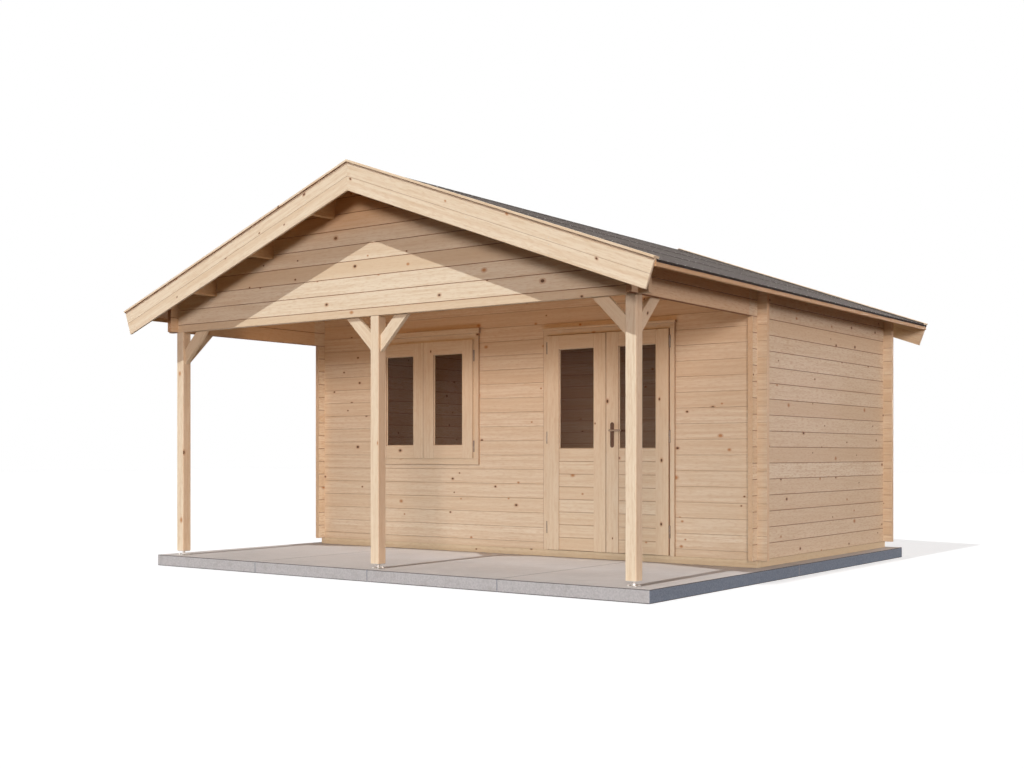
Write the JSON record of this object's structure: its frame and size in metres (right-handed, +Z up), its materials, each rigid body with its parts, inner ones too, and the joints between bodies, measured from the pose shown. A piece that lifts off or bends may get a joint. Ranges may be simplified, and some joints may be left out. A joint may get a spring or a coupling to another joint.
{
  "type": "log cabin with canopy",
  "caption": "Log cabin on a concrete base, with lapped log walls, a felted gable roof carried forward over a canopy on braced posts, a glazed double door and a window.",
  "frame": {"origin": "under the middle of the roof's plan, on the underside of the concrete base", "axes": "+X to the right seen from the front, +Y to the back, +Z up"},
  "size_m": [5.6824, 5.575, 3.4129],
  "materials": {
    "concrete": "rough",
    "treated_timber": "sawn",
    "floor_timber": "planed",
    "log_timber": "planed",
    "roof_timber": "planed",
    "felt": "granulated",
    "trim_timber": "planed",
    "post_timber": "planed",
    "steel": "satin",
    "joinery_timber": "planed",
    "glass": "clear",
    "bronze": "satin"
  },
  "bodies": {
    "cabin": {"concrete_base": "concrete", "foundation_beams": "treated_timber", "floor_joists": "treated_timber", "floor_boards": "floor_timber", "front_wall": "log_timber", "back_wall": "log_timber", "left_wall": "log_timber", "right_wall": "log_timber", "canopy_gable": "log_timber", "front_gable": "log_timber", "back_gable": "log_timber", "purlins": "roof_timber", "roof_deck": "roof_timber", "roof_felt": "felt", "front_bargeboards": "trim_timber", "back_bargeboards": "trim_timber", "cover_strips": "trim_timber", "eave_boards": "trim_timber", "left_post": "post_timber", "centre_post": "post_timber", "right_post": "post_timber", "left_post_braces": "post_timber", "centre_post_braces": "post_timber", "right_post_braces": "post_timber", "post_feet": "steel", "door_hinge_pins": "steel", "window_hinges": "steel", "door_frame": "joinery_timber", "door_casing": "joinery_timber", "inner_casings": "joinery_timber", "window_frame": "joinery_timber", "window_casing": "joinery_timber", "window_casements": "joinery_timber", "window_glass": "glass"},
    "left_leaf": {"left_leaf_frame": "joinery_timber", "left_leaf_boards": "joinery_timber", "left_leaf_glass": "glass", "left_leaf_hinges": "steel"},
    "right_leaf": {"right_leaf_frame": "joinery_timber", "right_leaf_boards": "joinery_timber", "right_leaf_glass": "glass", "right_leaf_hinges": "steel", "handle_plates": "bronze"},
    "lever": {"door_lever": "bronze"}
  },
  "joints": [
    {"name": "left_leaf_hinge", "type": "hinge", "parent": "cabin", "child": "left_leaf", "pos_m": [0.411, -0.5438, 1.15], "axis": [0, 0, -1], "range_deg": [0, 110]},
    {"name": "right_leaf_hinge", "type": "hinge", "parent": "cabin", "child": "right_leaf", "pos_m": [1.705, -0.5438, 1.15], "axis": [0, 0, 1], "range_deg": [0, 110]},
    {"name": "lever_turn", "type": "hinge", "parent": "right_leaf", "child": "lever", "pos_m": [1.125, -0.5325, 1.256], "axis": [0, 1, 0], "range_deg": [0, 40], "stiffness_Nm_per_rad": 3, "springref_deg": -20.05}
  ]
}
